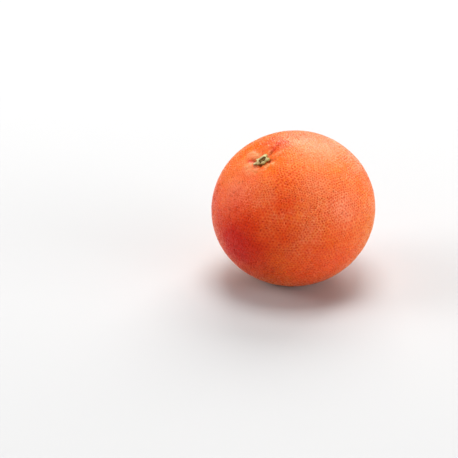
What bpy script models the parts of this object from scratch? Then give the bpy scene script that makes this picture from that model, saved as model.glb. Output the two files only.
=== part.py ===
"""A whole pomelo of the pink-fleshed, orange-skinned kind, as picked.

The fruit grew as one piece and is one solid. It leans on a small flat spot, with its stem end up
and to one side. In the shallow hollow at the stem end sits the calyx, a green star with uneven
lobes, and in the calyx's cup the brown scar where the stalk broke off. Metres, +Z up. The origin
is the middle of the flat spot, straight under the fruit's middle.
"""

import math

import bmesh
import bpy
import numpy as np
from mathutils import Vector

MM = 0.001

# Driving dimensions of the fruit
GIRTH = 110.0 * MM  # widest diameter
SHORT_DIAMETER = 100.7 * MM  # diameter along its short axis
FLAT_SPOT_DEPTH = 0.75 * MM  # how far its weight has pressed the flat spot in
HALF_GIRTH = GIRTH / 2
HALF_SHORT = SHORT_DIAMETER / 2


def leaning(lean_deg, turn_deg):
    """Unit vector that leans from upright, towards the heading turned from +X."""
    lean, turn = math.radians(lean_deg), math.radians(turn_deg)
    return np.array(
        (math.sin(lean) * math.cos(turn), math.sin(lean) * math.sin(turn), math.cos(lean))
    )


# The short axis leans less than the stem's, so the fruit is a little lopsided
SHORT_AXIS = leaning(13.5, 247.8)
STEM_AXIS = leaning(32.7, 220.2)
BLOSSOM_AXIS = -STEM_AXIS

# Two directions along the skin at the stem, from which bearings round the stem are counted
STEM_EAST = np.array((1.0, 0.0, 0.0)) - STEM_AXIS[0] * STEM_AXIS
STEM_EAST /= np.linalg.norm(STEM_EAST)
STEM_NORTH = np.cross(STEM_AXIS, STEM_EAST)

# Height of the fruit's middle over the surface that it rests on
UPRIGHT = np.array((0.0, 0.0, 1.0))
LOWEST = math.sqrt(
    HALF_GIRTH**2 - (HALF_GIRTH**2 - HALF_SHORT**2) * float(SHORT_AXIS @ UPRIGHT) ** 2
)
MIDDLE_HEIGHT = LOWEST - FLAT_SPOT_DEPTH

# Broad swellings and hollows of the skin: lean, heading, reach in degrees, height
SWELLINGS = (
    (47.0, 350.0, 24.0, 0.45 * MM),
    (50.0, 185.0, 24.0, 0.40 * MM),
    (34.0, 45.0, 26.0, 0.50 * MM),
    (30.0, 115.0, 30.0, 0.45 * MM),
    (75.0, 265.0, 30.0, 0.30 * MM),
    (95.0, 320.0, 28.0, -0.30 * MM),
    (100.0, 90.0, 34.0, 0.35 * MM),
    (88.0, 30.0, 26.0, -0.25 * MM),
    (60.0, 120.0, 26.0, -0.30 * MM),
    (110.0, 200.0, 28.0, 0.25 * MM),
)

# The hollow at the stem end and the dimple at the blossom end
STEM_HOLLOW_DEPTH = 2.2 * MM
STEM_HOLLOW_REACH = 10.0 * MM
SHOULDER_HEIGHT = 0.45 * MM
SHOULDER_DISTANCE = 21.0 * MM
SHOULDER_WIDTH = 8.0 * MM
BLOSSOM_DIMPLE_DEPTH = 1.1 * MM
BLOSSOM_DIMPLE_REACH = 6.5 * MM
BLOSSOM_KNOB_HEIGHT = 0.6 * MM
BLOSSOM_KNOB_REACH = 1.9 * MM

# Folds that run out from the stem: bearing, depth (below 0 for a ridge), half width, start, reach
FOLDS = (
    (44.0, 1.30 * MM, 1.4 * MM, 4.5 * MM, 8.5 * MM),
    (162.0, 1.10 * MM, 1.7 * MM, 3.0 * MM, 8.5 * MM),
    (-118.0, 1.80 * MM, 1.4 * MM, 1.5 * MM, 5.0 * MM),
    (-62.0, 0.35 * MM, 1.6 * MM, 2.0 * MM, 7.0 * MM),
    (-24.0, 0.80 * MM, 1.5 * MM, 3.0 * MM, 6.0 * MM),
    (93.0, 0.50 * MM, 1.6 * MM, 3.0 * MM, 8.0 * MM),
    (131.0, -0.75 * MM, 1.9 * MM, 5.5 * MM, 10.0 * MM),
    (-173.0, -0.75 * MM, 1.9 * MM, 8.0 * MM, 8.0 * MM),
    (-48.0, -0.60 * MM, 1.8 * MM, 6.5 * MM, 7.0 * MM),
    (14.0, -0.50 * MM, 2.0 * MM, 8.0 * MM, 9.0 * MM),
    (-94.0, -0.35 * MM, 2.0 * MM, 7.0 * MM, 7.0 * MM),
)
FOLD_RAMP = 3.0 * MM

# Oil glands of the peel, drawn as pits, fewer and larger than life
PIT_COUNT = 1500
PIT_DEPTH = 0.45 * MM
PIT_DEPTH_SPREAD = 0.75
PIT_CROWDING = 2.6  # how many more there are at the stem than elsewhere
PIT_CROWDING_LEAN = 0.34
PIT_SHIFT = 0.17  # random shift, as a share of their spacing
PIT_FREE_STEM = 9.0 * MM
PIT_FREE_BLOSSOM = 4.0 * MM
PIT_FREE_FLAT = 13.0 * MM
PIT_FADE = 8.0 * MM
GOLDEN_ANGLE = math.pi * (3 - math.sqrt(5))
SEED = 7

# How the outline of the flat spot is kept free of slivers
SPOT_SNAP_HEIGHT = 0.10 * MM
SPOT_CORNER_SPACING = 1.3 * MM

# The calyx: its lobes' bearing, length from the stem's axis, half span and rise, and its wall
LOBES = (
    (66.0, 6.4 * MM, 38.0, 0.25 * MM),
    (108.0, 4.5 * MM, 34.0, 0.30 * MM),
    (-8.0, 5.7 * MM, 34.0, 0.45 * MM),
    (-80.0, 4.2 * MM, 30.0, 0.50 * MM),
    (-146.0, 5.2 * MM, 24.0, 0.35 * MM),
    (-163.0, 8.0 * MM, 14.0, 0.0),
    (155.0, 5.6 * MM, 24.0, 0.10 * MM),
)
# Clefts in the wall, between the lobes: bearing, half width in degrees, depth
CLEFTS = (
    (24.0, 15.0, 0.85 * MM),
    (-62.0, 38.0, 0.45 * MM),
    (-119.0, 14.0, 0.90 * MM),
    (165.0, 12.0, 0.25 * MM),
)
CALYX_WAIST = 3.6 * MM
CALYX_GAP = 0.3 * MM
CREST_RADIUS = 2.95 * MM
CREST_HEIGHT = 1.85 * MM
CREST_MARGIN = 0.45 * MM  # how far the wall's crest stays in from the star's outline
LOBE_THICKNESS = 0.8 * MM
CUP_RADIUS = 2.0 * MM
CUP_FLOOR = 0.7 * MM
OBLONG_BEARING = 25.0  # the way in which the cup and its wall are drawn out
OBLONG = 0.45 * MM
CUP_BEARING = -65.0  # the way in which the cup lies off the stem's axis
CUP_SHIFT = 0.5 * MM
CALYX_SIDES = 72

# The scar of the stalk, a rough dry disc in the cup
SCAR_RADIUS = 1.6 * MM
SCAR_THICKNESS = 0.5 * MM
SCAR_SIDES = 20


def along_skin(directions, axis):
    """Distance along the skin from where an axis leaves it."""
    return np.arccos(np.clip(directions @ axis, -1.0, 1.0)) * HALF_GIRTH


def smooth_step(value):
    value = np.clip(value, 0.0, 1.0)
    return value * value * (3 - 2 * value)


def fold_depth(directions):
    """How far the folds round the stem go in, below 0 where they stand out."""
    away = along_skin(directions, STEM_AXIS)
    bearing = np.arctan2(directions @ STEM_NORTH, directions @ STEM_EAST)
    depth = np.zeros(len(directions))
    for turn_deg, deep, half_width, start, reach in FOLDS:
        turn = bearing - math.radians(turn_deg)
        aside = away * np.sin(turn)
        ahead = np.cos(turn) > 0
        run = smooth_step((away - start) / FOLD_RAMP) * np.exp(-((away / (start + reach)) ** 4))
        spread = half_width * (0.7 + 0.3 * away / reach)
        depth += deep * run * np.exp(-((aside / spread) ** 2)) * ahead
    return depth


def skin_radius(directions, folded=True):
    """Distance from the fruit's middle to its skin, without pits, along unit directions."""
    along = directions @ SHORT_AXIS
    radius = 1 / np.sqrt((1 - along**2) / HALF_GIRTH**2 + along**2 / HALF_SHORT**2)
    for lean, turn, reach_deg, height in SWELLINGS:
        angle = np.arccos(np.clip(directions @ leaning(lean, turn), -1.0, 1.0))
        radius += height * np.exp(-((angle / math.radians(reach_deg)) ** 2))
    from_stem = along_skin(directions, STEM_AXIS)
    radius -= STEM_HOLLOW_DEPTH * np.exp(-((from_stem / STEM_HOLLOW_REACH) ** 2))
    radius += SHOULDER_HEIGHT * np.exp(-(((from_stem - SHOULDER_DISTANCE) / SHOULDER_WIDTH) ** 2))
    from_blossom = along_skin(directions, BLOSSOM_AXIS)
    radius -= BLOSSOM_DIMPLE_DEPTH * np.exp(-((from_blossom / BLOSSOM_DIMPLE_REACH) ** 2))
    radius += BLOSSOM_KNOB_HEIGHT * np.exp(-((from_blossom / BLOSSOM_KNOB_REACH) ** 2))
    if folded:
        radius -= fold_depth(directions)
    return radius


def pit_strength(directions):
    """1 where the pits are full, falling to 0 at the stem, the blossom end and the flat spot."""
    strength = smooth_step((along_skin(directions, STEM_AXIS) - PIT_FREE_STEM) / PIT_FADE)
    strength *= smooth_step((along_skin(directions, BLOSSOM_AXIS) - PIT_FREE_BLOSSOM) / PIT_FADE)
    strength *= smooth_step((along_skin(directions, -UPRIGHT) - PIT_FREE_FLAT) / PIT_FADE)
    return strength


def pit_directions(chance):
    """Unit directions of the pits: a golden-angle spiral round the stem, closer near it."""
    lean = np.linspace(0, math.pi, 4000)
    share = np.cumsum(np.sin(lean) * (1 + PIT_CROWDING * np.exp(-((lean / PIT_CROWDING_LEAN) ** 2))))
    number = np.arange(PIT_COUNT)
    pit_lean = np.interp((number + 0.5) / PIT_COUNT, share / share[-1], lean)
    turn = number * GOLDEN_ANGLE
    out = np.sin(pit_lean)
    directions = (
        np.outer(out * np.cos(turn), STEM_EAST)
        + np.outer(out * np.sin(turn), STEM_NORTH)
        + np.outer(np.cos(pit_lean), STEM_AXIS)
    )
    crowding = 1 + PIT_CROWDING * np.exp(-((pit_lean / PIT_CROWDING_LEAN) ** 2))
    spacing = np.sqrt(4 * math.pi / (PIT_COUNT * crowding))
    directions += chance.uniform(-1, 1, directions.shape) * (PIT_SHIFT * spacing)[:, None]
    return unit(directions)


def unit(vectors):
    return vectors / np.linalg.norm(vectors, axis=1)[:, None]


def make_fruit():
    """The pitted skin as one closed body. Each pit is a fan of triangles round its lowest point,
    and its rim runs through the middles of the triangles that join it to the pits around it."""
    chance = np.random.default_rng(SEED)
    pits = pit_directions(chance)
    net = bmesh.new()
    for direction in pits:
        net.verts.new(direction)
    bmesh.ops.convex_hull(net, input=net.verts)
    net.verts.index_update()
    net.faces.index_update()
    rims = unit(np.array([face.calc_center_median() for face in net.faces]))

    depth = PIT_DEPTH * (1 + PIT_DEPTH_SPREAD * chance.uniform(-1, 1, len(pits)))
    pit_points = pits * (skin_radius(pits) - depth * pit_strength(pits))[:, None]
    rim_points = rims * skin_radius(rims)[:, None]

    skin = bmesh.new()
    rise = Vector((0, 0, MIDDLE_HEIGHT))
    pit_verts = [skin.verts.new(Vector(point) + rise) for point in pit_points]
    rim_verts = [skin.verts.new(Vector(point) + rise) for point in rim_points]
    for edge in net.edges:
        side_a, side_b = (rim_verts[face.index] for face in edge.link_faces)
        for vert in edge.verts:
            skin.faces.new((pit_verts[vert.index], side_a, side_b))
    net.free()
    bmesh.ops.recalc_face_normals(skin, faces=skin.faces)
    press_flat_spot(skin)
    return as_object("fruit", skin)


def press_flat_spot(skin):
    """Cuts the skin off level at the surface that the fruit rests on, and closes it."""
    for vert in skin.verts:
        if abs(vert.co.z) < SPOT_SNAP_HEIGHT:
            vert.co.z = 0.0
    bmesh.ops.bisect_plane(
        skin,
        geom=skin.verts[:] + skin.edges[:] + skin.faces[:],
        dist=1e-7,
        plane_co=(0, 0, 0),
        plane_no=(0, 0, -1),
        clear_outer=True,
    )
    outline = [vert for vert in skin.verts if vert.is_boundary]
    bmesh.ops.remove_doubles(skin, verts=outline, dist=SPOT_CORNER_SPACING)
    bmesh.ops.contextual_create(skin, geom=[edge for edge in skin.edges if edge.is_boundary])
    bmesh.ops.recalc_face_normals(skin, faces=skin.faces)


def stem_point(distance, bearing, height):
    """A point over the unfolded skin, at a distance from the stem's axis and on a bearing."""
    lean = distance / HALF_GIRTH
    direction = (
        math.sin(lean) * (math.cos(bearing) * STEM_EAST + math.sin(bearing) * STEM_NORTH)
        + math.cos(lean) * STEM_AXIS
    )
    radius = float(skin_radius(direction[None], folded=False)[0])
    point = direction * radius + STEM_AXIS * height
    return Vector(point) + Vector((0, 0, MIDDLE_HEIGHT))


def off_bearing(bearing, turn_deg):
    """Angle in degrees between a bearing and one direction, from 0 to 180."""
    return math.degrees(abs(math.remainder(bearing - math.radians(turn_deg), 2 * math.pi)))


def oblong(bearing, radius):
    """A radius drawn out along one bearing, and drawn in across it."""
    return radius + OBLONG * math.cos(2 * (bearing - math.radians(OBLONG_BEARING)))


def cup_edge(bearing, radius):
    """An oblong edge that lies a little to one side of the stem's axis, as the cup does."""
    return oblong(bearing, radius) + CUP_SHIFT * math.cos(bearing - math.radians(CUP_BEARING))


def crest_edge(bearing):
    """The outer edge of the wall's crest, which is thicker on the cup's far side."""
    return max(oblong(bearing, CREST_RADIUS), cup_edge(bearing, CREST_RADIUS))


def calyx_outline(bearing):
    """The calyx's reach from the stem's axis on a bearing, and how far its wall rises there."""
    reach, rise = CALYX_WAIST, 0.0
    for turn_deg, length, half_span, lobe_rise in LOBES:
        off = off_bearing(bearing, turn_deg)
        share = math.cos(math.radians(90 * min(off / half_span, 1))) ** 1.3
        reach = max(reach, CALYX_WAIST + (length - CALYX_WAIST) * share)
        rise = max(rise, lobe_rise * share)
    for turn_deg, half_width, depth in CLEFTS:
        rise -= depth * math.exp(-((off_bearing(bearing, turn_deg) / half_width) ** 2))
    return reach, rise


def ring_stack(rings, first, last):
    """A closed body from rings of points, with a point at each end."""
    body = bmesh.new()
    rows = [[body.verts.new(point) for point in ring] for ring in rings]
    for lower, upper in zip(rows, rows[1:]):
        for i in range(len(lower)):
            j = (i + 1) % len(lower)
            body.faces.new((lower[i], lower[j], upper[j], upper[i]))
    for tip, row in ((body.verts.new(first), rows[0]), (body.verts.new(last), rows[-1])):
        for i in range(len(row)):
            body.faces.new((tip, row[i], row[(i + 1) % len(row)]))
    bmesh.ops.recalc_face_normals(body, faces=body.faces)
    return body


def make_calyx():
    """An uneven star that lies in the stem hollow, with a raised wall round an open cup."""
    rings = [[] for _ in range(10)]
    for k in range(CALYX_SIDES):
        bearing = 2 * math.pi * k / CALYX_SIDES
        edge, rise = calyx_outline(bearing)
        crest = min(crest_edge(bearing), edge - CREST_MARGIN)
        cup = cup_edge(bearing, CUP_RADIUS)
        top = CREST_HEIGHT + rise
        gap = CALYX_GAP
        upper = gap + LOBE_THICKNESS + 0.3 * min(rise, 0.0)
        shoulder = max(0.92 * edge, crest + 0.75 * (edge - crest))
        profile = (
            (0.50 * edge, gap),
            (0.92 * edge, gap + 0.08 * MM),
            (edge, gap + 0.45 * (upper - gap)),
            (shoulder, upper),
            (crest + 0.55 * (edge - crest), upper + 0.28 * (top - upper)),
            (crest + 0.22 * (edge - crest), upper + 0.78 * (top - upper)),
            (crest, top),
            (crest - 0.35 * MM, top - 0.18 * MM),
            (cup + 0.12 * MM, CUP_FLOOR + 0.5 * (top - CUP_FLOOR)),
            (cup, CUP_FLOOR),
        )
        for ring, (distance, height) in zip(rings, profile):
            ring.append(stem_point(distance, bearing, height))
    body = ring_stack(rings, stem_point(0, 0, CALYX_GAP), stem_point(0, 0, CUP_FLOOR))
    return as_object("calyx", body)


def make_stem_scar():
    """The dry end of the stalk, a low disc with a dished, uneven top."""
    foot = CUP_FLOOR + CALYX_GAP
    profile = (
        (0.97, 0.0),
        (1.00, 0.4 * SCAR_THICKNESS),
        (0.86, 0.9 * SCAR_THICKNESS),
        (0.60, SCAR_THICKNESS),
        (0.28, 0.6 * SCAR_THICKNESS),
    )
    rings = []
    for share, height in profile:
        ring = []
        for k in range(SCAR_SIDES):
            bearing = 2 * math.pi * k / SCAR_SIDES
            uneven = 1 + 0.12 * math.sin(5 * bearing + 1.0) if height else 1.0
            distance = share * cup_edge(bearing, SCAR_RADIUS)
            ring.append(stem_point(distance, bearing, foot + height * uneven))
        rings.append(ring)
    top = foot + 0.5 * SCAR_THICKNESS
    body = ring_stack(rings, stem_point(0, 0, foot), stem_point(0, 0, top))
    return as_object("stem_scar", body)


def as_object(name, body):
    mesh = bpy.data.meshes.new(name)
    body.to_mesh(mesh)
    body.free()
    mesh.shade_smooth()
    mesh.set_sharp_from_angle(angle=math.radians(50))
    thing = bpy.data.objects.new(name, mesh)
    bpy.context.scene.collection.objects.link(thing)
    return thing


def finish_with(thing, colour, roughness):
    """Gives a piece its own material."""
    material = bpy.data.materials.new(thing.name)
    material.use_nodes = True
    shader = material.node_tree.nodes["Principled BSDF"]
    shader.inputs["Base Color"].default_value = (*colour, 1.0)
    shader.inputs["Roughness"].default_value = roughness
    shader.inputs["Metallic"].default_value = 0.0
    thing.data.materials.append(material)


def main():
    for thing in list(bpy.data.objects):
        bpy.data.objects.remove(thing)
    finish_with(make_fruit(), colour=(0.82, 0.24, 0.07), roughness=0.42)
    finish_with(make_calyx(), colour=(0.50, 0.50, 0.24), roughness=0.70)
    finish_with(make_stem_scar(), colour=(0.12, 0.08, 0.04), roughness=0.85)


main()
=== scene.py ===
"""How a whole pomelo of the pink-fleshed, orange-skinned kind looks: its pitted, blushed peel, the
half-dried calyx at its stem end, and the scar of the stalk. It lies on a pale floor in soft light.
"""

import math

import bpy
import numpy as np
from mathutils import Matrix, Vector, noise


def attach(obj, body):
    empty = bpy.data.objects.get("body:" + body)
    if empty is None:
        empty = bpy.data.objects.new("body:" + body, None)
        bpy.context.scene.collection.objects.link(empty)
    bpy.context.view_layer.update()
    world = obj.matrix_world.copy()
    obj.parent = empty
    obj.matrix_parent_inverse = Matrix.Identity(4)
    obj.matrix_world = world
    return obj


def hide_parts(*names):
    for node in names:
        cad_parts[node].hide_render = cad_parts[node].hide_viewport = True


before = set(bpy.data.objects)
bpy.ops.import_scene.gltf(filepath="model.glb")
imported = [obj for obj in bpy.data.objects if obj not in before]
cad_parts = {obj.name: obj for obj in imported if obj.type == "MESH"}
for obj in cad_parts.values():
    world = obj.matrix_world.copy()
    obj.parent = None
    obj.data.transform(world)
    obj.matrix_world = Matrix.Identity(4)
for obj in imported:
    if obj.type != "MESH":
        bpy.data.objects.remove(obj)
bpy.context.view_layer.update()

MM = 0.001

# The fruit's driving dimensions, as in its solids
GIRTH = 110.0 * MM
SHORT_DIAMETER = 100.7 * MM
FLAT_SPOT_DEPTH = 0.75 * MM
HALF_GIRTH = GIRTH / 2
HALF_SHORT = SHORT_DIAMETER / 2


def leaning(lean_deg, turn_deg):
    """Unit vector that leans from upright, towards the heading turned from +X."""
    lean, turn = math.radians(lean_deg), math.radians(turn_deg)
    return np.array(
        (math.sin(lean) * math.cos(turn), math.sin(lean) * math.sin(turn), math.cos(lean))
    )


SHORT_AXIS = leaning(13.5, 247.8)
STEM_AXIS = leaning(32.7, 220.2)
BLOSSOM_AXIS = -STEM_AXIS
UPRIGHT = np.array((0.0, 0.0, 1.0))

# Two directions along the skin at the stem, from which bearings round the stem are counted
STEM_EAST = np.array((1.0, 0.0, 0.0)) - STEM_AXIS[0] * STEM_AXIS
STEM_EAST /= np.linalg.norm(STEM_EAST)
STEM_NORTH = np.cross(STEM_AXIS, STEM_EAST)

# Height of the fruit's middle over the surface that it rests on
LOWEST = math.sqrt(
    HALF_GIRTH**2 - (HALF_GIRTH**2 - HALF_SHORT**2) * float(SHORT_AXIS @ UPRIGHT) ** 2
)
MIDDLE_HEIGHT = LOWEST - FLAT_SPOT_DEPTH

# Broad swellings and hollows of the skin: lean, heading, reach in degrees, height
SWELLINGS = (
    (47.0, 350.0, 24.0, 0.45 * MM),
    (50.0, 185.0, 24.0, 0.40 * MM),
    (34.0, 45.0, 26.0, 0.50 * MM),
    (30.0, 115.0, 30.0, 0.45 * MM),
    (75.0, 265.0, 30.0, 0.30 * MM),
    (95.0, 320.0, 28.0, -0.30 * MM),
    (100.0, 90.0, 34.0, 0.35 * MM),
    (88.0, 30.0, 26.0, -0.25 * MM),
    (60.0, 120.0, 26.0, -0.30 * MM),
    (110.0, 200.0, 28.0, 0.25 * MM),
)

# The hollow at the stem end and the dimple at the blossom end
STEM_HOLLOW_DEPTH = 2.2 * MM
STEM_HOLLOW_REACH = 10.0 * MM
SHOULDER_HEIGHT = 0.45 * MM
SHOULDER_DISTANCE = 21.0 * MM
SHOULDER_WIDTH = 8.0 * MM
BLOSSOM_DIMPLE_DEPTH = 1.1 * MM
BLOSSOM_DIMPLE_REACH = 6.5 * MM
BLOSSOM_KNOB_HEIGHT = 0.6 * MM
BLOSSOM_KNOB_REACH = 1.9 * MM

# Folds that run out from the stem: bearing, depth (below 0 for a ridge), half width, start, reach
FOLDS = (
    (44.0, 1.30 * MM, 1.4 * MM, 4.5 * MM, 8.5 * MM),
    (162.0, 1.10 * MM, 1.7 * MM, 3.0 * MM, 8.5 * MM),
    (-118.0, 1.80 * MM, 1.4 * MM, 1.5 * MM, 5.0 * MM),
    (-62.0, 0.35 * MM, 1.6 * MM, 2.0 * MM, 7.0 * MM),
    (-24.0, 0.80 * MM, 1.5 * MM, 3.0 * MM, 6.0 * MM),
    (93.0, 0.50 * MM, 1.6 * MM, 3.0 * MM, 8.0 * MM),
    (131.0, -0.75 * MM, 1.9 * MM, 5.5 * MM, 10.0 * MM),
    (-173.0, -0.75 * MM, 1.9 * MM, 8.0 * MM, 8.0 * MM),
    (-48.0, -0.60 * MM, 1.8 * MM, 6.5 * MM, 7.0 * MM),
    (14.0, -0.50 * MM, 2.0 * MM, 8.0 * MM, 9.0 * MM),
    (-94.0, -0.35 * MM, 2.0 * MM, 7.0 * MM, 7.0 * MM),
)
FOLD_RAMP = 3.0 * MM

# The cells of the peel, on a ball of radius 1: how finely it is divided, and how unevenly
BALL_DIVISIONS = 6
CELL_JITTER = 0.012
CELL_SHAKE = 0.0055
CELL_DRIFT = 0.045
CELL_DRIFT_LENGTH = 0.26
DRIFT_SEEDS = (2.3, 5.9, 9.1)
GLAND_INSET = 0.005

# The oil glands, each a small round pit in its cell
GLAND_RADIUS = 0.58 * MM
GLAND_DEPTH = 0.34 * MM
GLAND_LIP_DEPTH = 0.13 * MM
GLAND_SIZES = (0.72, 1.25)  # the smallest and the largest, as shares of the radius
GLAND_FULLNESS = (0.55, 1.0)  # how dark and deep the faintest and the strongest are
FAINT_DEPTH = 0.35  # the share of the depth that every gland has
FULL_DEPTH = 0.85  # and the share that grows with its fullness
BLANK_SHARE = 0.08  # cells whose gland hardly shows
BLANK_FULLNESS = 0.12
PEBBLE_RISE = 0.07 * MM  # how unevenly the skin stands up between the glands
GLAND_SMOOTH_STEM = 8.0 * MM
GLAND_SMOOTH_BLOSSOM = 3.0 * MM
GLAND_FADE = 13.0 * MM
STEM_GLAND_SHARE = 0.12  # what is left of their depth beside the stem
SKIN_INSET = 0.09 * MM  # keeps the fine skin inside the solid's outline

# Low waves of the skin between the glands
WAVE_LENGTH = 6.0 * MM
WAVE_HEIGHT = 0.07 * MM
WAVE_MIDDLE = 0.6  # they lie mostly below the skin, not above it
WAVE_SEED = 3.1

# Red streaks and pale ridges round the stem: bearing, start, end, half width, strength
RED_STREAKS = (
    (44.0, 7.0 * MM, 12.0 * MM, 1.3 * MM, 1.0),
    (47.0, 10.0 * MM, 24.0 * MM, 6.0 * MM, 0.85),
    (75.0, 16.0 * MM, 28.0 * MM, 5.5 * MM, 0.55),
    (162.0, 7.0 * MM, 12.5 * MM, 2.2 * MM, 0.85),
    (-27.0, 4.5 * MM, 7.0 * MM, 1.3 * MM, 0.7),
    (-13.0, 6.0 * MM, 11.0 * MM, 2.0 * MM, 0.35),
    (-147.0, 6.0 * MM, 17.0 * MM, 5.0 * MM, 0.40),
    (92.0, 6.0 * MM, 11.0 * MM, 2.2 * MM, 0.45),
)
PALE_RIDGES = (
    (131.0, 6.0 * MM, 16.0 * MM, 2.4 * MM, 0.50),
    (-173.0, 8.5 * MM, 14.5 * MM, 2.0 * MM, 0.42),
    (-147.0, 8.0 * MM, 16.0 * MM, 4.5 * MM, 0.30),
    (-54.0, 6.0 * MM, 8.8 * MM, 1.6 * MM, 0.55),
    (-35.0, 8.5 * MM, 11.5 * MM, 1.5 * MM, 0.45),
    (14.0, 8.0 * MM, 15.0 * MM, 1.8 * MM, 0.20),
)
# Painted shade on the skin right beside the calyx: dark brown where its lobes overhang the skin
# and shade it
PAINTED_SHADE_BESIDE_CALYX = (
    (-118.0, 3.2 * MM, 5.4 * MM, 1.3 * MM, 1.0),
    (-147.0, 5.5 * MM, 8.5 * MM, 1.2 * MM, 0.65),
    (-27.0, 4.8 * MM, 6.8 * MM, 1.2 * MM, 0.75),
    (163.0, 5.5 * MM, 8.8 * MM, 1.6 * MM, 0.50),
    (42.0, 4.8 * MM, 6.4 * MM, 1.2 * MM, 0.60),
    (45.0, 8.0 * MM, 9.5 * MM, 0.8 * MM, 0.40),
)
STREAK_RAMP = 2.5 * MM

# Broad patches on the fruit's sides, partly its own tones and partly painted shade, sheen and
# reflections. Each row: lean, heading, reach in degrees, strength
TONES_AND_PAINTED_LIGHT = {
    # Yellower tone, and low on the right side a painted reflection
    "yellow_tone_and_painted_reflection": (
        (104.0, 350.0, 26.0, 0.64),
        (66.0, 196.0, 20.0, 0.24),
        (100.0, 140.0, 40.0, 0.48),
        (28.0, 300.0, 26.0, 0.36),
    ),
    # Salmon tone, and a painted sheen where the lamps' highlights fall: on the front left, the
    # front right and the top
    "salmon_tone_and_painted_sheen": (
        (62.0, 217.0, 15.0, 0.80),
        (70.0, 312.0, 18.0, 0.75),
        (51.0, 290.0, 14.0, 0.65),
        (45.0, 224.0, 6.0, 0.50),
        (75.0, 20.0, 25.0, 0.60),
        (95.0, 160.0, 26.0, 0.60),
        (40.0, 110.0, 20.0, 0.50),
        (4.0, 20.0, 16.0, 0.60),
        (24.0, 312.0, 16.0, 0.45),
    ),
    # Deeper orange: a painted shade band down the front and on the left, where little lamp light
    # falls, and tone of its own on the back and underside
    "deep_tone_and_painted_shade": (
        (46.0, 262.0, 12.0, 0.45),
        (64.0, 261.0, 13.0, 0.70),
        (84.0, 263.0, 16.0, 0.75),
        (112.0, 285.0, 32.0, 0.75),
        (82.0, 198.0, 20.0, 0.70),
        (92.0, 236.0, 34.0, 0.95),
        (62.0, 105.0, 26.0, 0.50),
        (120.0, 60.0, 34.0, 0.55),
    ),
    # Red: painted shade and a painted red reflection low on the front left and at the left rim,
    # and blush on the back
    "red_tone_painted_shade_and_reflection": (
        (101.0, 224.0, 27.0, 1.10),
        (86.0, 190.0, 20.0, 0.42),
        (66.0, 262.0, 14.0, 0.20),
        (112.0, 300.0, 30.0, 0.20),
        (70.0, 60.0, 34.0, 0.35),
    ),
}
# Where the glands are shallow, the same way
SMOOTH_SIDES = (
    (24.0, 324.0, 19.0, 0.65),
    (66.0, 212.0, 20.0, 0.40),
    (90.0, 120.0, 20.0, 0.30),
)

# The calyx: its lobes' bearing, length from the stem's axis, half span and rise, and its wall
LOBES = (
    (66.0, 6.4 * MM, 38.0, 0.25 * MM),
    (108.0, 4.5 * MM, 34.0, 0.30 * MM),
    (-8.0, 5.7 * MM, 34.0, 0.45 * MM),
    (-80.0, 4.2 * MM, 30.0, 0.50 * MM),
    (-146.0, 5.2 * MM, 24.0, 0.35 * MM),
    (-163.0, 8.0 * MM, 14.0, 0.0),
    (155.0, 5.6 * MM, 24.0, 0.10 * MM),
)
# Clefts in the wall, between the lobes: bearing, half width in degrees, depth
CLEFTS = (
    (24.0, 15.0, 0.85 * MM),
    (-62.0, 38.0, 0.45 * MM),
    (-119.0, 14.0, 0.90 * MM),
    (165.0, 12.0, 0.25 * MM),
)
CALYX_WAIST = 3.6 * MM
CALYX_GAP = 0.3 * MM
CREST_RADIUS = 2.95 * MM
CREST_HEIGHT = 1.85 * MM
CREST_MARGIN = 0.45 * MM  # how far the wall's crest stays in from the star's outline
LOBE_THICKNESS = 0.8 * MM
CUP_RADIUS = 2.0 * MM
CUP_FLOOR = 0.7 * MM
OBLONG_BEARING = 25.0  # the way in which the cup and its wall are drawn out
OBLONG = 0.45 * MM
CUP_BEARING = -65.0  # the way in which the cup lies off the stem's axis
CUP_SHIFT = 0.5 * MM
CALYX_SINK = 0.35 * MM  # how far its foot is grown into the skin
CALYX_SEGMENTS = 96
CALYX_RINGS = 30
# How rough the dried calyx is: the height of its lumps, their two sizes, and its fine grooves
LUMP_HEIGHT = 0.09 * MM
LUMP_SIZE = 1.5 * MM
FINE_LUMP_SIZE = 0.55 * MM
GROOVE_DEPTH = 0.10 * MM
GROOVE_COUNT = 23

# The scar of the stalk, a rough disc with a ring of strands
SCAR_RADIUS = 1.6 * MM
SCAR_THICKNESS = 0.5 * MM
SCAR_SEGMENTS = 48
SCAR_RINGS = 16
STRAND_COUNT = 9
STRAND_RISE = 0.16  # as a share of the scar's thickness
SCAR_LUMP_HEIGHT = 0.07 * MM
SCAR_LUMP_SIZE = 0.6 * MM

SEED = 7

# Where the camera stands: the photograph's frame and the fruit's place in it, in its pixels
FRAME_PIXELS = 458
FRUIT_MIDDLE_PIXEL = (293.0, 207.5)
FRUIT_WIDTH_PIXELS = 164.0
CAMERA_ELEVATION = 24.0
CAMERA_DISTANCE = 1.2
SENSOR = 36.0
VIEW_GAMMA = 0.9  # a little more contrast, as a studio picture has

# The lamps: name, degrees clockwise from behind the fruit, degrees up, width, height, brightness
LAMP_DISTANCE = 3.0
SOFTBOXES = (
    ("top_box", 0.0, 86.0, 1.6, 1.6, 7.2),
    ("back_window", 12.0, 41.0, 2.6, 2.0, 4.8),
    ("back_low_box", 30.0, 10.0, 2.4, 0.9, 1.5),
    ("left_low_box", 281.0, 14.0, 1.2, 1.5, 3.4),
    ("left_window", 262.0, 26.0, 1.2, 1.0, 6.2),
    ("left_high_box", 272.0, 42.0, 1.4, 1.2, 1.5),
    ("right_low_box", 112.0, 12.0, 2.2, 1.4, 4.7),
    ("right_front_box", 138.0, 24.0, 1.8, 1.4, 1.6),
)
FILL_LIGHT = 0.15

FLOOR_SIZE = 16.0
FLOOR_DROP = 0.1 * MM  # how far it lies below the flat spot
FLOOR_GREY = 0.60


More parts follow.
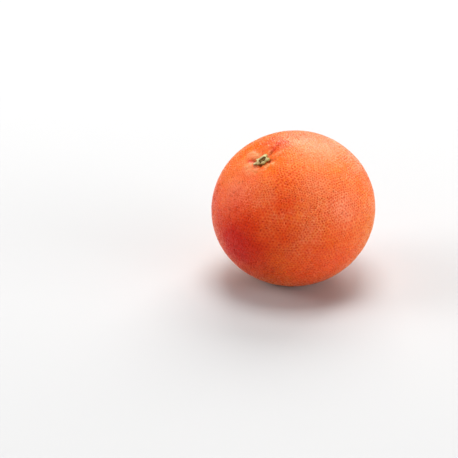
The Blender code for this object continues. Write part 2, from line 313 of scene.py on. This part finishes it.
def unit(vectors):
    return vectors / np.linalg.norm(vectors, axis=1)[:, None]


def smooth_step(value):
    value = np.clip(value, 0.0, 1.0)
    return value * value * (3 - 2 * value)


def along_skin(directions, axis):
    """Distance along the skin from where an axis leaves it."""
    return np.arccos(np.clip(directions @ axis, -1.0, 1.0)) * HALF_GIRTH


def bearing_round_stem(directions):
    return np.arctan2(directions @ STEM_NORTH, directions @ STEM_EAST)


def fold_depth(directions):
    """How far the folds round the stem go in, below 0 where they stand out."""
    away = along_skin(directions, STEM_AXIS)
    bearing = bearing_round_stem(directions)
    depth = np.zeros(len(directions))
    for turn_deg, deep, half_width, start, reach in FOLDS:
        turn = bearing - math.radians(turn_deg)
        aside = away * np.sin(turn)
        ahead = np.cos(turn) > 0
        run = smooth_step((away - start) / FOLD_RAMP) * np.exp(-((away / (start + reach)) ** 4))
        spread = half_width * (0.7 + 0.3 * away / reach)
        depth += deep * run * np.exp(-((aside / spread) ** 2)) * ahead
    return depth


def skin_radius(directions, folded=True):
    """Distance from the fruit's middle to its skin, without pits, along unit directions."""
    along = directions @ SHORT_AXIS
    radius = 1 / np.sqrt((1 - along**2) / HALF_GIRTH**2 + along**2 / HALF_SHORT**2)
    for lean, turn, reach_deg, height in SWELLINGS:
        angle = np.arccos(np.clip(directions @ leaning(lean, turn), -1.0, 1.0))
        radius += height * np.exp(-((angle / math.radians(reach_deg)) ** 2))
    from_stem = along_skin(directions, STEM_AXIS)
    radius -= STEM_HOLLOW_DEPTH * np.exp(-((from_stem / STEM_HOLLOW_REACH) ** 2))
    radius += SHOULDER_HEIGHT * np.exp(-(((from_stem - SHOULDER_DISTANCE) / SHOULDER_WIDTH) ** 2))
    from_blossom = along_skin(directions, BLOSSOM_AXIS)
    radius -= BLOSSOM_DIMPLE_DEPTH * np.exp(-((from_blossom / BLOSSOM_DIMPLE_REACH) ** 2))
    radius += BLOSSOM_KNOB_HEIGHT * np.exp(-((from_blossom / BLOSSOM_KNOB_REACH) ** 2))
    if folded:
        radius -= fold_depth(directions)
    return radius


def streaks(directions, kinds):
    """Strength, from 0 to 1, of marks that run out from the stem."""
    away = along_skin(directions, STEM_AXIS)
    bearing = bearing_round_stem(directions)
    strength = np.zeros(len(directions))
    for turn_deg, start, end, half_width, strong in kinds:
        turn = bearing - math.radians(turn_deg)
        aside = away * np.sin(turn)
        run = smooth_step((away - start) / STREAK_RAMP + 0.5)
        run *= smooth_step((end - away) / STREAK_RAMP + 0.5) * (np.cos(turn) > 0)
        strength = np.maximum(strength, strong * run * np.exp(-((aside / half_width) ** 2)))
    return strength


def sides(directions, kinds):
    """Strength, from 0 to 1, of broad soft patches."""
    strength = np.zeros(len(directions))
    for lean, turn, reach_deg, strong in kinds:
        angle = np.arccos(np.clip(directions @ leaning(lean, turn), -1.0, 1.0))
        strength = np.maximum(strength, strong * np.exp(-((angle / math.radians(reach_deg)) ** 2)))
    return strength


def places_of(mesh):
    places = np.empty(len(mesh.vertices) * 3)
    mesh.vertices.foreach_get("co", places)
    return places.reshape(-1, 3)


def put_places(mesh, places):
    mesh.vertices.foreach_set("co", places.ravel())
    mesh.update()


def store(mesh, name, values):
    """Keeps a number for each vertex, which the piece's finish reads by name."""
    attribute = mesh.attributes.new(name, "FLOAT", "POINT")
    attribute.data.foreach_set("value", values.astype(np.float32))


def waves(places, length, seed_shift):
    """Smooth noise from about -1 to 1 at each place."""
    shift = Vector((seed_shift, -seed_shift, 0.5 * seed_shift))
    return np.array([noise.noise(Vector(place) / length + shift) for place in places])


def select_where(items, wanted):
    items.foreach_set("select", wanted)


def gland_cells():
    """A ball of unit radius, divided into irregular six-sided cells with a fan of faces in each.

    A ball of triangles gets a point in the middle of each triangle, and each old edge is turned to
    join two of those. The old points are then dissolved, and what is left is one cell for each.
    """
    bpy.ops.mesh.primitive_ico_sphere_add(subdivisions=BALL_DIVISIONS, radius=1.0)
    ball = bpy.context.object
    mesh = ball.data
    cells = len(mesh.vertices)
    bpy.ops.object.mode_set(mode="EDIT")
    bpy.ops.mesh.select_all(action="SELECT")
    bpy.ops.transform.vertex_random(offset=CELL_JITTER, uniform=1.0, seed=SEED)
    bpy.ops.mesh.poke()
    bpy.ops.mesh.select_all(action="DESELECT")
    bpy.ops.object.mode_set(mode="OBJECT")

    ends = np.empty(len(mesh.edges) * 2, dtype=np.int32)
    mesh.edges.foreach_get("vertices", ends)
    old_edge = (ends.reshape(-1, 2) < cells).all(axis=1)
    bpy.ops.object.mode_set(mode="EDIT")
    bpy.ops.mesh.select_mode(type="EDGE")
    bpy.ops.object.mode_set(mode="OBJECT")
    select_where(mesh.edges, old_edge)
    bpy.ops.object.mode_set(mode="EDIT")
    bpy.ops.mesh.edge_rotate()
    bpy.ops.mesh.select_all(action="DESELECT")
    bpy.ops.mesh.select_mode(type="VERT")
    bpy.ops.object.mode_set(mode="OBJECT")

    select_where(mesh.vertices, np.arange(len(mesh.vertices)) < cells)
    bpy.ops.object.mode_set(mode="EDIT")
    bpy.ops.mesh.dissolve_verts()
    bpy.ops.object.mode_set(mode="OBJECT")
    corners = len(mesh.vertices)
    bpy.ops.object.mode_set(mode="EDIT")
    bpy.ops.mesh.select_mode(type="FACE")
    bpy.ops.mesh.select_all(action="SELECT")
    bpy.ops.mesh.inset(thickness=GLAND_INSET, use_individual=True)
    bpy.ops.object.mode_set(mode="OBJECT")
    lips = len(mesh.vertices)
    bpy.ops.object.mode_set(mode="EDIT")
    bpy.ops.mesh.poke()
    bpy.ops.mesh.select_all(action="DESELECT")
    bpy.ops.object.mode_set(mode="OBJECT")
    return ball, corners, lips


def gland_of_each_lip(mesh, lips):
    """For each vertex on a lip, the vertex at the bottom of its own gland."""
    sides_of_faces = np.empty(len(mesh.polygons), dtype=np.int32)
    mesh.polygons.foreach_get("loop_total", sides_of_faces)
    starts = np.empty(len(mesh.polygons), dtype=np.int32)
    mesh.polygons.foreach_get("loop_start", starts)
    round_faces = np.empty(len(mesh.loops), dtype=np.int32)
    mesh.loops.foreach_get("vertex_index", round_faces)
    fans = starts[sides_of_faces == 3][:, None] + np.arange(3)
    trios = round_faces[fans]
    trios = trios[(trios >= lips).any(axis=1)]
    bottoms = trios.max(axis=1)
    gland = np.arange(len(mesh.vertices))
    for column in range(3):
        on_lip = trios[:, column] < lips
        gland[trios[on_lip, column]] = bottoms[on_lip]
    return gland


def make_peel():
    """The skin, with every oil gland as a real pit, a fine wave and the folds round the stem."""
    chance = np.random.default_rng(SEED)
    peel, corners, lips = gland_cells()
    peel.name = "pitted_peel"
    mesh = peel.data
    directions = unit(places_of(mesh))
    drift = [waves(directions, CELL_DRIFT_LENGTH, seed) for seed in DRIFT_SEEDS]
    directions = unit(directions + CELL_DRIFT * np.stack(drift, axis=1))
    directions = unit(directions + CELL_SHAKE * chance.uniform(-1, 1, directions.shape))
    gland = gland_of_each_lip(mesh, lips)
    number = np.arange(len(mesh.vertices))
    on_lip = (number >= corners) & (number < lips)
    at_bottom = number >= lips

    size = chance.uniform(*GLAND_SIZES, len(number))
    fullness = chance.uniform(*GLAND_FULLNESS, len(number))
    fullness[chance.random(len(number)) < BLANK_SHARE] = BLANK_FULLNESS
    middle = directions[gland[on_lip]]
    outward = unit(directions[on_lip] - middle)
    reach = GLAND_RADIUS / HALF_GIRTH * size[gland[on_lip]]
    directions[on_lip] = unit(middle + outward * reach[:, None])

    deep = np.zeros(len(number))
    deep[at_bottom] = GLAND_DEPTH
    deep[on_lip] = GLAND_LIP_DEPTH
    deep *= (size * (FAINT_DEPTH + FULL_DEPTH * fullness))[gland]
    from_stem = along_skin(directions, STEM_AXIS)
    from_blossom = along_skin(directions, BLOSSOM_AXIS)
    strength = smooth_step((from_stem - GLAND_SMOOTH_STEM) / GLAND_FADE)
    strength = STEM_GLAND_SHARE + (1 - STEM_GLAND_SHARE) * strength
    strength *= smooth_step((from_blossom - GLAND_SMOOTH_BLOSSOM) / GLAND_FADE)
    strength *= 1 - sides(directions, SMOOTH_SIDES)

    radius = skin_radius(directions) - deep * strength - SKIN_INSET
    pebble = chance.uniform(-1, 1, len(number)) * (number < corners)
    radius += PEBBLE_RISE * pebble * strength
    wave = waves(directions * HALF_GIRTH, WAVE_LENGTH, WAVE_SEED)
    radius += WAVE_HEIGHT * (wave - WAVE_MIDDLE)
    places = directions * radius[:, None]
    places[:, 2] = np.maximum(places[:, 2] + MIDDLE_HEIGHT, 0.0)
    put_places(mesh, places)

    gland_mark = np.where(at_bottom, 1.0, np.where(on_lip, 0.5, 0.0))
    gland_mark *= fullness[gland]
    store(mesh, "gland", gland_mark * strength)
    store(mesh, "pebble", (number < corners) * (1 + 0.5 * pebble) * strength)
    store(mesh, "pitted", strength)
    store(mesh, "streak", streaks(directions, RED_STREAKS))
    store(mesh, "ridge", streaks(directions, PALE_RIDGES))
    # The painted shade beside the calyx, kept for the finish
    store(mesh, "painted_shade", streaks(directions, PAINTED_SHADE_BESIDE_CALYX))
    # The sides' own tones, with painted shade, sheen and reflections where those fall
    for name, kinds in TONES_AND_PAINTED_LIGHT.items():
        store(mesh, name, sides(directions, kinds))
    store(mesh, "from_stem", from_stem / MM)
    store(mesh, "from_blossom", from_blossom / MM)
    bpy.ops.object.shade_smooth()
    return peel


def stem_points(distance, bearing, height):
    """Points over the unfolded skin, at distances from the stem's axis and on bearings."""
    lean = distance / HALF_GIRTH
    across = np.outer(np.cos(bearing), STEM_EAST) + np.outer(np.sin(bearing), STEM_NORTH)
    directions = np.sin(lean)[:, None] * across + np.outer(np.cos(lean), STEM_AXIS)
    points = directions * skin_radius(directions, folded=False)[:, None]
    return points + np.outer(height, STEM_AXIS) + MIDDLE_HEIGHT * UPRIGHT


def off_bearing(bearing, turn_deg):
    """Angle in degrees between bearings and one direction, from 0 to 180."""
    off = np.degrees(bearing) - turn_deg
    return np.abs((off + 180) % 360 - 180)


def oblong(bearing, radius):
    """A radius drawn out along one bearing, and drawn in across it."""
    return radius + OBLONG * np.cos(2 * (bearing - math.radians(OBLONG_BEARING)))


def cup_edge(bearing, radius):
    """An oblong edge that lies a little to one side of the stem's axis, as the cup does."""
    return oblong(bearing, radius) + CUP_SHIFT * np.cos(bearing - math.radians(CUP_BEARING))


def crest_edge(bearing):
    """The outer edge of the wall's crest, which is thicker on the cup's far side."""
    return np.maximum(oblong(bearing, CREST_RADIUS), cup_edge(bearing, CREST_RADIUS))


def calyx_outline(bearing):
    """The calyx's reach on each bearing, and how far its wall rises there."""
    reach = np.full(len(bearing), CALYX_WAIST)
    rise = np.zeros(len(bearing))
    for turn_deg, length, half_span, lobe_rise in LOBES:
        off = off_bearing(bearing, turn_deg)
        share = np.cos(np.radians(90 * np.minimum(off / half_span, 1))) ** 1.3
        reach = np.maximum(reach, CALYX_WAIST + (length - CALYX_WAIST) * share)
        rise = np.maximum(rise, lobe_rise * share)
    for turn_deg, half_width, depth in CLEFTS:
        rise -= depth * np.exp(-((off_bearing(bearing, turn_deg) / half_width) ** 2))
    return reach, rise


def rings_and_bearings(mesh):
    """Each vertex's ring, from 0 at the bottom pole to 1 at the top, and its bearing."""
    places = places_of(mesh)
    height = places[:, 2] / np.linalg.norm(places, axis=1)
    return np.arccos(np.clip(-height, -1, 1)) / math.pi, np.arctan2(places[:, 1], places[:, 0])


def along_profile(ring, stops):
    """Follows a profile, given as one row of values for each stop, by the ring's share of it."""
    stops = np.array(stops)
    step = ring * (len(stops) - 1)
    lower = np.minimum(step.astype(int), len(stops) - 2)
    share = step - lower
    columns = np.arange(len(ring))
    return stops[lower, columns] * (1 - share) + stops[lower + 1, columns] * share


def make_calyx():
    """A thick, half-dried star with an uneven wall round a cup, shaped from a ball's rings."""
    bpy.ops.mesh.primitive_uv_sphere_add(segments=CALYX_SEGMENTS, ring_count=CALYX_RINGS)
    calyx = bpy.context.object
    calyx.name = "half_dried_calyx"
    mesh = calyx.data
    ring, bearing = rings_and_bearings(mesh)

    edge, rise = calyx_outline(bearing)
    crest = np.minimum(crest_edge(bearing), edge - CREST_MARGIN)
    cup = cup_edge(bearing, CUP_RADIUS)
    top = CREST_HEIGHT + rise
    foot = CALYX_GAP - CALYX_SINK
    upper = CALYX_GAP + LOBE_THICKNESS + 0.3 * np.minimum(rise, 0)
    none = np.zeros(len(bearing))
    # From under the middle, out to the lobes' edge, up the wall to its crest and down into the cup
    profile = (
        (none, none + foot),
        (0.55 * edge, none + foot),
        (0.90 * edge, none + foot),
        (edge, none + 0.10 * MM),
        (0.97 * edge, 0.75 * upper),
        (crest + 0.60 * (edge - crest), upper),
        (crest + 0.28 * (edge - crest), upper + 0.55 * (top - upper)),
        (crest + 0.08 * (edge - crest), upper + 0.92 * (top - upper)),
        (crest - 0.20 * MM, top),
        (crest - 0.45 * MM, top - 0.12 * MM),
        (cup + 0.15 * MM, CUP_FLOOR + 0.45 * (top - CUP_FLOOR)),
        (cup, none + CUP_FLOOR),
        (0.6 * cup, none + CUP_FLOOR),
        (none, none + CUP_FLOOR),
    )
    distance = along_profile(ring, [reach for reach, _ in profile])
    height = along_profile(ring, [up for _, up in profile])
    put_places(mesh, stem_points(distance, bearing, height))

    smooth = calyx.modifiers.new("Smooth", "SUBSURF")
    smooth.levels = smooth.render_levels = 1
    bpy.ops.object.modifier_apply(modifier=smooth.name)
    places = places_of(mesh)
    middle = places - stem_points(np.zeros(1), np.zeros(1), np.full(1, CALYX_GAP))[0]
    up = middle @ STEM_AXIS
    across = middle - np.outer(up, STEM_AXIS)
    out = np.linalg.norm(across, axis=1)
    turn = bearing_round_stem(across)
    rough = LUMP_HEIGHT * waves(places, LUMP_SIZE, 1.7)
    rough += LUMP_HEIGHT * waves(places, FINE_LUMP_SIZE, 4.2)
    groove = GROOVE_DEPTH * np.sin(GROOVE_COUNT * turn + out / MM)
    outward = unit(across + 1e-9)
    share_up = smooth_step((up - 0.1 * MM) / (0.8 * MM))
    places += outward * ((rough + groove) * share_up)[:, None]
    places += np.outer(rough * share_up, STEM_AXIS)
    put_places(mesh, places)
    store(mesh, "height", up / MM)
    store(mesh, "past_cup", (out - cup_edge(turn, CUP_RADIUS)) / MM)
    store(mesh, "past_crest", (out - crest_edge(turn)) / MM)
    bpy.ops.object.shade_smooth()
    return calyx


def make_scar():
    """The dry end of the stalk: a rough disc with a ring of strands round a sunken middle."""
    bpy.ops.mesh.primitive_uv_sphere_add(segments=SCAR_SEGMENTS, ring_count=SCAR_RINGS)
    scar = bpy.context.object
    scar.name = "dry_stalk_end"
    mesh = scar.data
    ring, bearing = rings_and_bearings(mesh)
    none = np.zeros(len(bearing))
    foot = CUP_FLOOR + CALYX_GAP
    strand = 1 + STRAND_RISE * np.sin(STRAND_COUNT * bearing + 0.4)
    wide = cup_edge(bearing, SCAR_RADIUS)
    profile = (
        (0.0, none),
        (0.97, none),
        (1.0, none + 0.4),
        (0.9, none + 0.85),
        (0.68, strand),
        (0.42, 0.8 * strand),
        (0.2, none + 0.45),
        (0.0, none + 0.35),
    )
    distance = along_profile(ring, [share * wide for share, _ in profile])
    height = along_profile(ring, [foot + SCAR_THICKNESS * rise for _, rise in profile])
    places = stem_points(distance, bearing, height)
    rough = SCAR_LUMP_HEIGHT * waves(places, SCAR_LUMP_SIZE, 8.3)
    above_foot = ring > 0.3
    places += np.outer(rough * above_foot, STEM_AXIS)
    put_places(mesh, places)
    store(mesh, "strand", (height - foot) / SCAR_THICKNESS)
    bpy.ops.object.shade_smooth()
    return scar


def linear(red, green, blue):
    """A colour as the shader needs it, from its usual values of 0 to 255."""
    values = []
    for value in (red, green, blue):
        share = value / 255
        values.append(share / 12.92 if share <= 0.04045 else ((share + 0.055) / 1.055) ** 2.4)
    return (*values, 1.0)


class Finish:
    """A material under way: its nodes, and short ways to add and join them."""

    def __init__(self, name):
        self.material = bpy.data.materials.new(name)
        self.material.use_nodes = True
        self.tree = self.material.node_tree
        self.shader = self.tree.nodes["Principled BSDF"]
        self.place = self.tree.nodes.new("ShaderNodeTexCoord").outputs["Object"]

    def feed(self, socket, value):
        """Joins a node's output to a socket, or sets a plain value on it."""
        if isinstance(value, bpy.types.NodeSocket):
            self.tree.links.new(value, socket)
        else:
            socket.default_value = value

    def attribute(self, name):
        node = self.tree.nodes.new("ShaderNodeAttribute")
        node.attribute_name = name
        return node.outputs["Fac"]

    def mottle(self, size, detail=2.0):
        """Noise with blotches of about a given size in metres."""
        node = self.tree.nodes.new("ShaderNodeTexNoise")
        node.inputs["Scale"].default_value = 1 / size
        node.inputs["Detail"].default_value = detail
        node.inputs["Roughness"].default_value = 0.5
        self.feed(node.inputs["Vector"], self.place)
        return node.outputs["Fac"]

    def pores(self, size):
        """Distance to the nearest of many points strewn at about a given spacing in metres."""
        node = self.tree.nodes.new("ShaderNodeTexVoronoi")
        node.inputs["Scale"].default_value = 1 / size
        self.feed(node.inputs["Vector"], self.place)
        return node.outputs["Distance"]

    def ramp(self, value, low, high, to_low=0.0, to_high=1.0):
        """Eases a value from one range to another."""
        node = self.tree.nodes.new("ShaderNodeMapRange")
        node.interpolation_type = "SMOOTHSTEP"
        self.feed(node.inputs["Value"], value)
        for name, number in zip(
            ("From Min", "From Max", "To Min", "To Max"), (low, high, to_low, to_high)
        ):
            node.inputs[name].default_value = number
        return node.outputs["Result"]

    def combine(self, kind, first, second):
        """Joins two values by a kind of sum, such as ADD or MULTIPLY."""
        node = self.tree.nodes.new("ShaderNodeMath")
        node.operation = kind
        self.feed(node.inputs[0], first)
        self.feed(node.inputs[1], second)
        return node.outputs[0]

    def mix(self, share, first, second, kind="MIX"):
        node = self.tree.nodes.new("ShaderNodeMix")
        node.data_type = "RGBA"
        node.blend_type = kind
        self.feed(node.inputs["Factor"], share)
        self.feed(node.inputs["A"], first)
        self.feed(node.inputs["B"], second)
        return node.outputs["Result"]

    def bump(self, height, distance, strength=1.0):
        node = self.tree.nodes.new("ShaderNodeBump")
        node.inputs["Distance"].default_value = distance
        node.inputs["Strength"].default_value = strength
        self.feed(node.inputs["Height"], height)
        self.feed(self.shader.inputs["Normal"], node.outputs["Normal"])

    def set(self, **values):
        """Sets the shader's own sockets, named with underscores for spaces."""
        for name, value in values.items():
            self.feed(self.shader.inputs[name.replace("_", " ")], value)


def peel_finish():
    """Waxy rind: orange to salmon in soft blotches, redder and yellower sides that are partly
    painted shade, sheen and reflections, a painted highlight on the pebbles, dark glands.
    """
    peel = Finish("waxy_rind")
    orange = linear(242, 112, 40)
    salmon = linear(240, 134, 86)
    deep = linear(238, 76, 10)
    yellow = linear(244, 136, 44)
    cream = linear(244, 194, 142)
    pink = linear(216, 66, 34)
    brown = linear(120, 82, 44)
    # Dark brown for the painted shade beside the calyx
    painted_shade = linear(92, 32, 10)
    # What the skin's colour is multiplied by: on the pebbles, a painted highlight on their tops,
    # in the glands and in the pores
    pebble_painted_highlight = (1.05, 1.80, 2.40, 1.0)
    gland_tint = (0.78, 0.28, 0.08, 1.0)
    pore_tint = (0.80, 0.40, 0.18, 1.0)

    # Soft blotches of several sizes
    broad = peel.ramp(peel.mottle(34 * MM, 2.0), 0.38, 0.66)
    patch = peel.ramp(peel.mottle(9 * MM, 3.0), 0.36, 0.70)
    blotch = peel.ramp(peel.mottle(4.5 * MM, 3.0), 0.40, 0.68)
    grain = peel.mottle(1.3 * MM, 2.0)
    colour = peel.mix(broad, orange, salmon)
    colour = peel.mix(peel.combine("MULTIPLY", patch, 0.45), colour, deep)
    colour = peel.mix(peel.combine("MULTIPLY", blotch, 0.35), colour, yellow)

    uneven = peel.ramp(peel.mottle(14 * MM, 3.0), 0.25, 0.75, 0.82, 1.18)
    # Colours of the side patches: tones of their own, and painted shade, sheen and reflections
    tones_and_painted_light_colours = {
        "yellow_tone_and_painted_reflection": yellow,
        "salmon_tone_and_painted_sheen": linear(241, 132, 90),
        "deep_tone_and_painted_shade": deep,
        "red_tone_painted_shade_and_reflection": linear(206, 26, 0),
    }
    for name, tone in tones_and_painted_light_colours.items():
        colour = peel.mix(peel.combine("MULTIPLY", peel.attribute(name), uneven), colour, tone)

    # Brown and pale flecks near the stem, then the streaks, the ridges and the painted shade
    # beside the calyx
    near_stem = peel.ramp(peel.attribute("from_stem"), 8.0, 18.0, 0.85, 0.0)
    for size, low, tone in ((2.3, 0.48, linear(200, 122, 62)), (1.7, 0.53, linear(248, 172, 122))):
        fleck = peel.ramp(peel.mottle(size * MM, 3.0), low, low + 0.16)
        colour = peel.mix(peel.combine("MULTIPLY", near_stem, fleck), colour, tone)

    torn = peel.ramp(peel.mottle(2.6 * MM, 3.0), 0.30, 0.70, 0.35, 1.25)
    streak = peel.combine("MULTIPLY", peel.attribute("streak"), torn)
    colour = peel.mix(streak, colour, pink)
    ridge = peel.combine("MULTIPLY", peel.attribute("ridge"), torn)
    colour = peel.mix(ridge, colour, cream)
    # Painted shade: dark brown on the skin where the calyx's lobes overhang it
    shade = peel.combine("MULTIPLY", peel.attribute("painted_shade"), torn)
    colour = peel.mix(shade, colour, painted_shade)

    # A painted highlight on the pebbles between the glands, lighter and yellower where their tops
    # catch the lamps
    lit = peel.combine("MULTIPLY", peel.attribute("pebble"), peel.ramp(grain, 0.3, 0.7, 0.3, 0.8))
    colour = peel.mix(lit, colour, pebble_painted_highlight, "MULTIPLY")
    pit = peel.combine("MULTIPLY", peel.attribute("gland"), 0.85)
    colour = peel.mix(pit, colour, gland_tint, "MULTIPLY")
    pore = peel.ramp(peel.pores(1.3 * MM), 0.08, 0.40, 0.7, 0.0)
    pore = peel.combine("MULTIPLY", pore, peel.attribute("pitted"))
    colour = peel.mix(pore, colour, pore_tint, "MULTIPLY")

    navel = peel.ramp(peel.attribute("from_blossom"), 1.6, 2.6, 1.0, 0.0)
    colour = peel.mix(navel, colour, brown)

    peel.set(Base_Color=colour)
    peel.set(Roughness=peel.ramp(grain, 0.3, 0.7, 0.24, 0.33))
    peel.set(Specular_IOR_Level=0.25, Specular_Tint=(1.0, 0.76, 0.60, 1.0))
    peel.set(Subsurface_Weight=0.08, Subsurface_Scale=0.0012)
    peel.shader.inputs["Subsurface Radius"].default_value = (1.0, 0.35, 0.15)
    relief = peel.combine("SUBTRACT", peel.mottle(0.8 * MM, 2.0), pore)
    relief = peel.combine("ADD", relief, peel.combine("MULTIPLY", peel.mottle(2.4 * MM, 1.0), 1.6))
    peel.bump(relief, 0.20 * MM, 1.0)
    return peel.material


def calyx_finish():
    """Half-dried green turning cream along the crests, and brown in the cup and in small specks.
    """
    calyx = Finish("half_dried_green")
    green = linear(188, 184, 116)
    cream = linear(214, 200, 150)
    brown = linear(124, 88, 44)
    olive = linear(150, 136, 68)
    fibre = calyx.ramp(calyx.mottle(0.9 * MM, 4.0), 0.3, 0.7)
    height = calyx.attribute("height")
    colour = calyx.mix(fibre, olive, green)
    pale = calyx.ramp(height, 0.5, 1.5)
    tip = calyx.ramp(calyx.attribute("past_crest"), 1.2, 4.0, 0.0, 0.8)
    colour = calyx.mix(calyx.combine("MAXIMUM", pale, tip), colour, cream)
    dried = calyx.ramp(calyx.attribute("past_crest"), 2.6, 4.6, 0.0, 0.8)
    colour = calyx.mix(dried, colour, linear(226, 164, 116))
    cup = calyx.ramp(calyx.attribute("past_cup"), 0.0, 0.55, 1.0, 0.0)
    colour = calyx.mix(cup, colour, brown)
    foot = calyx.ramp(height, 0.0, 0.45, 0.7, 0.0)
    colour = calyx.mix(foot, colour, linear(200, 146, 92))
    speck = calyx.ramp(calyx.mottle(0.5 * MM, 2.0), 0.60, 0.74, 0.0, 0.45)
    colour = calyx.mix(speck, colour, brown)
    calyx.set(Base_Color=colour, Roughness=0.75, Specular_IOR_Level=0.3)
    calyx.bump(calyx.mottle(0.35 * MM, 4.0), 0.06 * MM, 0.8)
    return calyx.material


def scar_finish():
    """Dry, fibrous brown, paler on the strands."""
    scar = Finish("dry_fibre")
    grain = scar.mottle(0.4 * MM, 4.0)
    colour = scar.mix(scar.ramp(grain, 0.3, 0.7), linear(96, 70, 18), linear(142, 106, 58))
    lit = scar.ramp(scar.attribute("strand"), 0.85, 1.15, 0.0, 0.6)
    colour = scar.mix(lit, colour, linear(168, 132, 96))
    scar.set(Base_Color=colour, Roughness=0.85, Specular_IOR_Level=0.2)
    scar.bump(grain, 0.05 * MM, 0.8)
    return scar.material


def dress(piece, material, node):
    """Gives a piece its finish, fixes it to the root body and hides the solid that it stands in
    for.
    """
    piece.data.materials.clear()
    piece.data.materials.append(material)
    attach(piece, "root")
    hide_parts(node)


def make_floor():
    """A plain pale floor, just under the fruit."""
    bpy.ops.mesh.primitive_plane_add(size=FLOOR_SIZE, location=(0, 0, -FLOOR_DROP))
    floor = bpy.context.object
    floor.name = "pale_floor"
    paper = bpy.data.materials.new("pale_paper")
    paper.use_nodes = True
    shader = paper.node_tree.nodes["Principled BSDF"]
    shader.inputs["Base Color"].default_value = (FLOOR_GREY, FLOOR_GREY, FLOOR_GREY, 1.0)
    shader.inputs["Roughness"].default_value = 0.9
    shader.inputs["Specular IOR Level"].default_value = 0.0
    floor.data.materials.append(paper)


def softbox(name, turn_deg, rise_deg, width, height, brightness):
    """An oblong lamp that faces the fruit evenly, turned clockwise from behind it, and raised."""
    lamp = bpy.data.lights.new(name, "AREA")
    lamp.shape = "RECTANGLE"
    lamp.size, lamp.size_y = width, height
    lamp.energy = brightness * math.pi * width * height
    turn, rise = math.radians(turn_deg), math.radians(rise_deg)
    towards = Vector(
        (math.cos(rise) * math.sin(turn), math.cos(rise) * math.cos(turn), math.sin(rise))
    )
    box = bpy.data.objects.new(name, lamp)
    bpy.context.scene.collection.objects.link(box)
    box.location = Vector((0, 0, MIDDLE_HEIGHT)) + towards * LAMP_DISTANCE
    box.rotation_euler = towards.to_track_quat("Z", "Y").to_euler()
    box.visible_camera = False
    return box


def make_lights():
    """Soft studio light from the boxes round the fruit, and a weak fill from all sides."""
    for row in SOFTBOXES:
        softbox(*row)
    world = bpy.data.worlds.new("studio")
    bpy.context.scene.world = world
    world.use_nodes = True
    background = world.node_tree.nodes["Background"]
    background.inputs["Color"].default_value = (1.0, 1.0, 1.0, 1.0)
    background.inputs["Strength"].default_value = FILL_LIGHT
    bpy.context.scene.view_settings.view_transform = "Standard"
    bpy.context.scene.view_settings.gamma = VIEW_GAMMA


def make_camera():
    """Stands where the fruit's middle is seen from the set elevation, turned to frame it aside."""
    elevation = math.radians(CAMERA_ELEVATION)
    towards = Vector((0, -math.cos(elevation), math.sin(elevation)))
    right = Vector((1, 0, 0))
    up = Vector((0, math.sin(elevation), math.cos(elevation)))
    middle = Vector((0, 0, MIDDLE_HEIGHT))
    metres_per_pixel = GIRTH / FRUIT_WIDTH_PIXELS
    aside = (FRUIT_MIDDLE_PIXEL[0] - FRAME_PIXELS / 2) * metres_per_pixel
    above = (FRAME_PIXELS / 2 - FRUIT_MIDDLE_PIXEL[1]) * metres_per_pixel
    aim = middle - right * aside - up * above

    lens = bpy.data.cameras.new("camera")
    lens.sensor_width = SENSOR
    lens.lens = SENSOR * CAMERA_DISTANCE / (FRAME_PIXELS * metres_per_pixel)
    camera = bpy.data.objects.new("camera", lens)
    bpy.context.scene.collection.objects.link(camera)
    camera.location = middle + towards * CAMERA_DISTANCE
    camera.rotation_euler = (aim - camera.location).to_track_quat("-Z", "Y").to_euler()
    bpy.context.scene.camera = camera


bpy.ops.object.select_all(action="DESELECT")
make_camera()
dress(make_peel(), peel_finish(), "fruit")
dress(make_calyx(), calyx_finish(), "calyx")
dress(make_scar(), scar_finish(), "stem_scar")
make_floor()
make_lights()
